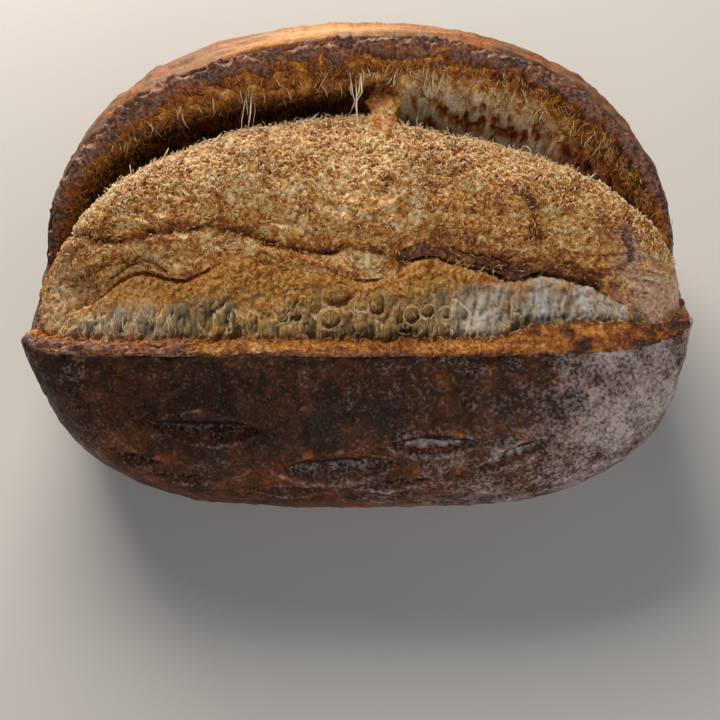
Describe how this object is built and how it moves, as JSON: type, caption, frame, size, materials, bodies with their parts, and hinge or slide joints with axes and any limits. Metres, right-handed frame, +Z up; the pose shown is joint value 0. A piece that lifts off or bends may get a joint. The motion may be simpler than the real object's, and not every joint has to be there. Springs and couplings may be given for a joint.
{
  "type": "whole wheat bread loaf",
  "caption": "Oval crusty whole wheat loaf with one long slash that has opened: a low front lip, a swollen torn bloom, a tall back ear and small leaf-shaped cuts.",
  "frame": {"origin": "on the surface that the loaf rests on, under the middle of its box", "axes": "+X along the loaf, -Y towards the low front lip, +Z up"},
  "size_m": [0.237, 0.173, 0.1038],
  "materials": {
    "crust": "matt browned wheat crust with a little flour",
    "crumb": "soft open grey-tan crumb"
  },
  "bodies": {
    "root": {"loaf": "crust"}
  },
  "joints": []
}
